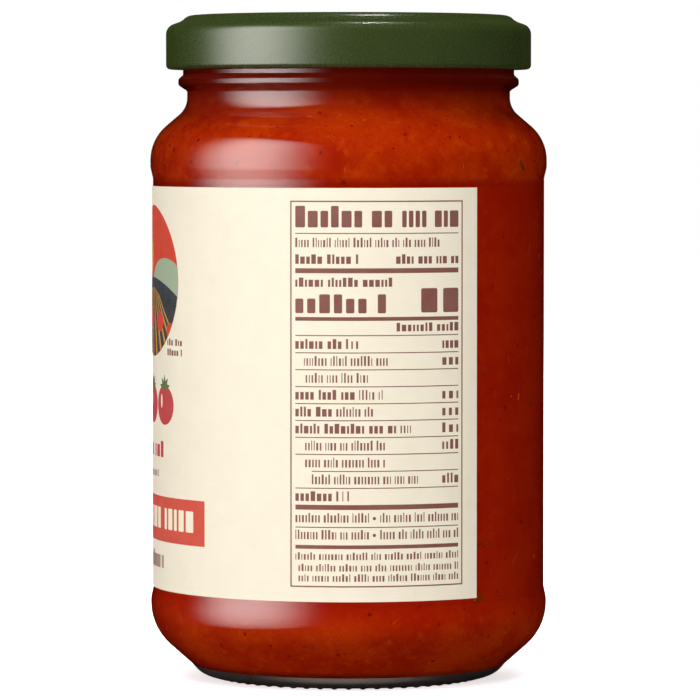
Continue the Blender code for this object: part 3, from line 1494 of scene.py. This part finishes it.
@dataclass(frozen=True)
class Emblem:
    """The round picture on the front: a field under a low sun, in flat inks.

    Each of its layers draws shapes of one ink and yields the faces of each shape.
    """

    x: float = 0.5
    y: float = 72.0
    radius: float = 13.6
    step_in: float = 0.02
    furrow_length: float = 14.0
    furrow_spread: float = 2.6

    def sky(self, sheet: Print) -> Iterator[Faces]:
        """Draws the sky, which fills the round."""
        yield sheet.disc(self.x, self.y, self.radius, self.radius, 60)

    def sun(self, sheet: Print) -> Iterator[Faces]:
        """Draws the low sun."""
        yield sheet.disc(self.x - 3.6, self.y + 4.4, 3.4, 3.4)

    def hills(self, sheet: Print) -> Iterator[Faces]:
        """Draws the two hills."""
        yield sheet.disc(self.x + 8.0, self.y - 3.2, 9.5, 7.4)
        yield sheet.disc(self.x - 9.5, self.y - 4.0, 8.5, 6.4)

    def field(self, sheet: Print) -> Iterator[Faces]:
        """Draws the dark field."""
        yield sheet.disc(self.x, self.y - 15.0, 22.0, 15.6)

    def furrows(self, sheet: Print) -> Iterator[Faces]:
        """Draws the field's furrows, which spread towards the front.

        Args:
            sheet: The print that they go into.

        Yields:
            The faces of each furrow.
        """
        for step in range(-5, 6):
            faces = sheet.bar(-0.16, 0.16, -self.furrow_length, -1.2)
            for vert in {vert for face in faces for vert in face.verts}:
                near = -vert.co.y / self.furrow_length
                spread = self.furrow_spread * near
                vert.co.x = self.x + vert.co.x * (0.6 + spread) + step * (0.7 + spread)
                vert.co.y = self.y + vert.co.y - 0.05 * step * step * (1 - near)
            yield faces

    def fruit(self, sheet: Print) -> Iterator[Faces]:
        """Draws the fruit that lies on the field."""
        for step, size in ((-7.4, 1.9), (-1.2, 2.2), (5.4, 2.0), (10.6, 1.7)):
            yield sheet.disc(self.x + step, self.y - 6.6 - 0.02 * step * step, size, size * 0.9, 32)

    def build(self, inks: Inks) -> None:
        """Adds the picture to the scene, each ink cut off at its round edge.

        Args:
            inks: The label's inks.
        """
        layers = (
            ("emblem_sky", Ink.SUNSET, self.sky),
            ("emblem_sun", Ink.OCHRE, self.sun),
            ("emblem_hills", Ink.HILL, self.hills),
            ("emblem_field", Ink.NIGHT, self.field),
            ("emblem_furrows", Ink.OCHRE, self.furrows),
            ("emblem_fruit", Ink.SUNSET, self.fruit),
        )
        for coats, (name, colour, draw) in enumerate(layers):
            sheet = Print()
            for faces in draw(sheet):
                sheet.trim(faces, self.x, self.y, self.radius - self.step_in * coats)
            sheet.cut_in_strips()
            sheet.wrap(name, 0.0, coats, inks[colour])


@dataclass(frozen=True)
class FrontPanel:
    """The label's front below its picture: a row of tomatoes, greeked lines and a red band."""

    tomato: float = 3.75
    tomato_pitch: float = 8.3
    tomato_y: float = 49.9
    band_half: float = 21.9
    band_bottom: float = 25.4
    band_top: float = 33.5

    def tomatoes(self, inks: Inks) -> None:
        """Adds the three tomatoes with their shines and leaves.

        Args:
            inks: The label's inks.
        """
        fruit, shine, leaves = Print(), Print(), Print()
        for step in (-1, 0, 1):
            x = step * self.tomato_pitch
            fruit.disc(x, self.tomato_y, self.tomato * 1.06, self.tomato * 0.94, 48)
            shine.disc(x - 1.55, self.tomato_y + 0.7, 0.42, 1.25, 24)
            for turn in (-76, -40, 0, 40, 76):
                leaves.leaf(x, self.tomato_y + 3.0, 2.5, 0.95, turn)
        fruit.cut_in_strips()
        fruit.wrap("front_tomatoes", 0.0, 0, inks[Ink.CRIMSON])
        shine.wrap("front_tomato_shines", 0.0, 1, inks[Ink.CREAM])
        leaves.wrap("front_tomato_leaves", 0.0, 1, inks[Ink.LEAF])

    def build(self, inks: Inks) -> None:
        """Adds the front's print to the scene.

        Args:
            inks: The label's inks.
        """
        self.tomatoes(inks)
        crimson = Print(seed=3)
        crimson.words(-7.6, 7.6, 40.5, 43.4, Weight.HEAVY)
        crimson.wrap("front_crimson_line", 0.0, 0, inks[Ink.CRIMSON])
        brown = Print(seed=4)
        brown.words(-4.7, 4.7, 36.9, 38.2, Weight.LIGHT)
        brown.words(-7.6, 7.6, 20.6, 23.6, Weight.BOLD)
        for bottom in (60.7, 58.9):
            for left, right in ((9.7, 15.3), (-15.3, -9.7)):
                brown.words(left, right, bottom, bottom + 1.2, Weight.BOLD)
        brown.wrap("front_brown_lines", 0.0, 0, inks[Ink.BROWN])
        band = Print()
        band.bar(-self.band_half, self.band_half, self.band_bottom, self.band_top)
        band.wrap("front_band", 0.0, 0, inks[Ink.RED])
        cream = Print(seed=5)
        cream.words(-18.7, 18.8, 27.7, 31.5, Weight.CAPITAL)
        cream.wrap("front_band_words", 0.0, 1, inks[Ink.CREAM])


@dataclass(frozen=True)
class SidePanel:
    """The label's other side: greeked paragraphs over a block of upright bars."""

    middle: float = -88.8
    half_width: float = 14.0
    line_pitch: float = 2.4
    line_height: float = 1.5
    code_widths: tuple[float, ...] = (0.28, 0.28, 0.56, 0.84)
    code_bottom: float = 21.0
    code_top: float = 36.0

    def paragraph(self, sheet: Print, bottom: float, shorts: Sequence[float]) -> None:
        """Draws a light line for each number.

        Args:
            sheet: The print that they go into.
            bottom: The foot of the first line.
            shorts: How far each line stays off the right edge.
        """
        for i, short in enumerate(shorts):
            foot = bottom - self.line_pitch * i
            right = self.half_width - short
            sheet.words(-self.half_width, right, foot, foot + self.line_height, Weight.LIGHT)

    def build(self, inks: Inks) -> None:
        """Adds the side's print to the scene.

        Args:
            inks: The label's inks.
        """
        sheet = Print(seed=21)
        side = self.half_width
        sheet.words(-side, 3.0, 82.0, 84.6, Weight.HEAVY)
        self.paragraph(sheet, 77.6, (0, 0.5, 1.0, 0, 0.5, 1.0, 6.0))
        sheet.words(-side, -2.0, 56.6, 58.3, Weight.BOLD)
        self.paragraph(sheet, 53.4, (0, 0.7, 0, 8.0))
        x = -side
        while x < side:
            wide = sheet.rng.choice(self.code_widths)
            sheet.bar(x, x + wide, self.code_bottom, self.code_top)
            x += wide + sheet.rng.choice(self.code_widths)
        sheet.wrap("side_print", self.middle, 0, inks[Ink.BROWN])


def way_to(azimuth: float, rise: float) -> Vector:
    """The direction of something round the jar, one metre long, from two angles in degrees."""
    turn, lift = math.radians(azimuth), math.radians(rise)
    return Vector((math.sin(turn), -math.cos(turn), math.tan(lift))) * math.cos(lift)


@dataclass(frozen=True)
class GlowPanel:
    """A soft lamp panel that shows only as a reflection, bright in its middle.

    It hangs its distance away from a point of the jar's axis, in metres, and faces that point.
    """

    name: str
    azimuth: float
    rise: float
    distance: float
    centre: float
    half_width: float
    half_height: float
    power: float
    half_bright: float = 0.375
    fade_across: float = 2.3
    fade_upright: float = 3.5
    colour: Colour = (1.0, 0.985, 0.955)

    def finish(self) -> bpy.types.Material:
        """Makes its glow, which fades towards the edges.

        Returns:
            The material.
        """
        material = bpy.data.materials.new(self.name)
        material.use_nodes = True
        graph = Graph(material.node_tree)
        material.node_tree.nodes.remove(material.node_tree.nodes["Principled BSDF"])
        x, y, _ = graph.axes(graph.place())
        across = graph.sum("DIVIDE", graph.sum("ABSOLUTE", x), self.half_bright)
        fade_x = graph.sum("POWER", 0.5, graph.sum("POWER", across, self.fade_across))
        upright = graph.sum("POWER", graph.sum("ABSOLUTE", y), self.fade_upright)
        fade_y = graph.sum("SUBTRACT", 1.0, upright, clamp=True)
        strength = graph.sum("MULTIPLY", graph.sum("MULTIPLY", fade_x, fade_y), self.power)
        glow = graph.add("ShaderNodeEmission", {"Color": self.colour, "Strength": strength})
        leave = material.node_tree.nodes["Material Output"]
        graph.feed(leave.inputs["Surface"], glow.outputs["Emission"])
        return material

    def build(self) -> None:
        """Adds the panel to the stage."""
        shape = bmesh.new()
        bmesh.ops.create_grid(shape, x_segments=1, y_segments=1, size=1.0)
        panel = made(shape, self.name, self.finish())
        way = way_to(self.azimuth, self.rise)
        panel.location = way * self.distance + Vector((0, 0, self.centre))
        panel.rotation_euler = (-way).to_track_quat("Z", "Y").to_euler()
        panel.scale = (self.half_width, self.half_height, 1)
        panel.visible_camera = False
        panel.visible_diffuse = False
        panel.visible_shadow = False


@dataclass(frozen=True)
class Lamp:
    """A soft square lamp that lights but does not show in reflections.

    It hangs its distance away from a point of the jar's axis, in metres, and faces that point.
    """

    name: str
    azimuth: float
    rise: float
    power: float
    centre: float
    distance: float = 1.2
    size: float = 0.8

    def build(self) -> None:
        """Adds the lamp to the scene."""
        data = bpy.data.lights.new(self.name, "AREA")
        data.energy = self.power
        data.size = self.size
        lamp = placed(self.name, data)
        way = way_to(self.azimuth, self.rise)
        lamp.location = way * self.distance + Vector((0, 0, self.centre))
        lamp.rotation_euler = way.to_track_quat("Z", "Y").to_euler()
        lamp.visible_camera = False
        lamp.visible_glossy = False


@dataclass(frozen=True)
class FloorFinish:
    """The floor's pale surface, which glows where the camera sees it, brighter far from the jar.
    Its weaker glow near the jar is painted shade round the jar's foot.

    The distances from the jar are in metres. The light that it throws back at the jar is duller.
    """

    name: str = "pale_floor"
    colour: Colour = (0.93, 0.93, 0.92)
    shade: Colour = (0.90, 0.90, 0.89)
    thrown: Colour = (0.6, 0.6, 0.6)
    glow: Colour = (1.0, 1.0, 1.0)
    # the weaker glow near the jar, which paints shade round its foot
    painted_shade_glow: float = 0.60
    far_glow: float = 1.0
    near: float = 0.020
    far: float = 0.09

    def build(self) -> bpy.types.Material:
        """Makes the material.

        Returns:
            The material.
        """
        material = bpy.data.materials.new(self.name)
        material.use_nodes = True
        graph = Graph(material.node_tree)
        where = graph.place()
        camera = graph.add("ShaderNodeLightPath").outputs["Is Camera Ray"]
        seen = graph.mix(graph.noise(where, 60.0), self.shade, self.colour)
        away = graph.add("ShaderNodeVectorMath", {"Vector": where}, operation="LENGTH").outputs["Value"]
        # painted shade: the glow drops towards the jar
        glow = graph.rise(away, self.near, self.far, self.painted_shade_glow, self.far_glow)
        looks = {
            "Base Color": graph.mix(camera, self.thrown, seen),
            "Roughness": 0.9,
            "Specular IOR Level": 0.1,
            "Emission Color": self.glow,
            "Emission Strength": graph.sum("MULTIPLY", glow, camera),
        }
        graph.fed(material.node_tree.nodes["Principled BSDF"], looks)
        return material


@dataclass(frozen=True)
class Studio:
    """The floor, the lights and the camera. Its sizes are in metres and its angles in degrees.

    The lamps are given by name, angle round from the camera, rise and power in watts.
    """

    camera_azimuth: float = 81.0
    camera_distance: float = 0.889
    camera_height: float = 0.0992
    aim_height: float = 0.05915
    aim_right: float = 0.00026
    lens: float = 252.25
    sensor: float = 36.0
    nearest: float = 0.01
    farthest: float = 50.0
    floor_radius: float = 3.0
    ambient: float = 0.01
    lamps: tuple[tuple[str, float, float, float], ...] = (
        ("key", -38, 11, 7.8),
        ("upper", -6, 60, 10.8),
        ("side", 52, 30, 2.9),
        ("back", 184, 32, 8.0),
    )

    def camera(self) -> None:
        """Adds the camera at the photograph's viewing angle."""
        right = way_to(self.camera_azimuth + 90, 0)
        place = way_to(self.camera_azimuth, 0) * self.camera_distance
        place.z = self.camera_height
        aim = Vector((0, 0, self.aim_height)) + right * self.aim_right
        data = bpy.data.cameras.new("camera")
        data.lens = self.lens
        data.sensor_width = self.sensor
        data.clip_start = self.nearest
        data.clip_end = self.farthest
        camera = placed("camera", data)
        camera.location = place
        camera.rotation_euler = (aim - place).to_track_quat("-Z", "Y").to_euler()
        bpy.context.scene.camera = camera

    def floor(self) -> None:
        """Adds the pale floor."""
        shape = bmesh.new()
        bmesh.ops.create_circle(shape, cap_ends=True, segments=96, radius=self.floor_radius)
        floor = made(shape, "floor", FloorFinish().build())
        floor.visible_glossy = False

    def world(self) -> None:
        """Sets the light from all round, and the white that is seen past the floor."""
        world = bpy.data.worlds.new("studio")
        bpy.context.scene.world = world
        world.use_nodes = True
        graph = Graph(world.node_tree)
        path = graph.add("ShaderNodeLightPath").outputs
        ambient = graph.sum("MULTIPLY", path["Is Diffuse Ray"], self.ambient)
        strength = graph.sum("ADD", path["Is Camera Ray"], ambient)
        graph.fed(world.node_tree.nodes["Background"], {"Color": (1.0, 1.0, 1.0), "Strength": strength})

    def build(self) -> None:
        """Sets up the whole studio."""
        self.camera()
        self.floor()
        self.world()
        for name, turn, rise, power in self.lamps:
            Lamp(name, self.camera_azimuth + turn, rise, power, self.aim_height).build()
        GlowPanel("key_glow", self.camera_azimuth - 59, 0, 0.7, 0.30, 0.85, 0.62, 8.4).build()
        GlowPanel("top_glow", self.camera_azimuth + 135, 80, 1.0, 0.118, 0.05, 0.04, 300.0).build()
        bpy.context.scene.view_settings.view_transform = "Standard"


def main() -> None:
    """Builds the jar, its print and the studio round it."""
    logging.basicConfig(level=logging.INFO, format="%(message)s")
    grain, laid = grain_group(), laid_group()
    form = GlassForm()
    GlassJar(form).build(GlassFinish().build(grain), StippleFinish().build(grain))
    wall = Sauce(form).build(SauceFinish().build(grain))
    herb = BitFinish("herb", colour=(0.10, 0.030, 0.004), film=(0.25, 0.012, 0.0005), covered=0.55)
    chilli = BitFinish("chilli", colour=(0.16, 0.004, 0.0003), film=(0.30, 0.010, 0.0003), covered=0.75)
    seed = BitFinish("seed", colour=(0.50, 0.085, 0.004), film=(0.43, 0.026, 0.0005), covered=0.6)
    Bits("herb_flakes", 80, 0.6, 3.0, 0.45, 0.10, 9, 5).build(wall, herb.build(grain))
    Bits("chilli_flakes", 1700, 0.16, 1.0, 0.8, 0.10, 7, 6).build(wall, chilli.build(grain))
    Bits("tomato_seeds", 110, 0.5, 2.0, 0.55, 0.12, 9, 7, rough=0.1).build(wall, seed.build(grain))
    Bits("pulp_fibres", 70, 1.5, 4.5, 0.05, 0.08, 10, 8, rough=0.3).build(wall, seed.build(grain))
    Lid().build(LacquerFinish().build(grain))
    LabelPaper().build(PaperFinish().build(laid))
    inks = {each: ink(*each.value).build(laid) for each in Ink}
    FactTable().build(inks)
    Emblem().build(inks)
    FrontPanel().build(inks)
    SidePanel().build(inks)
    Studio().build()


if __name__ == "__main__":
    main()
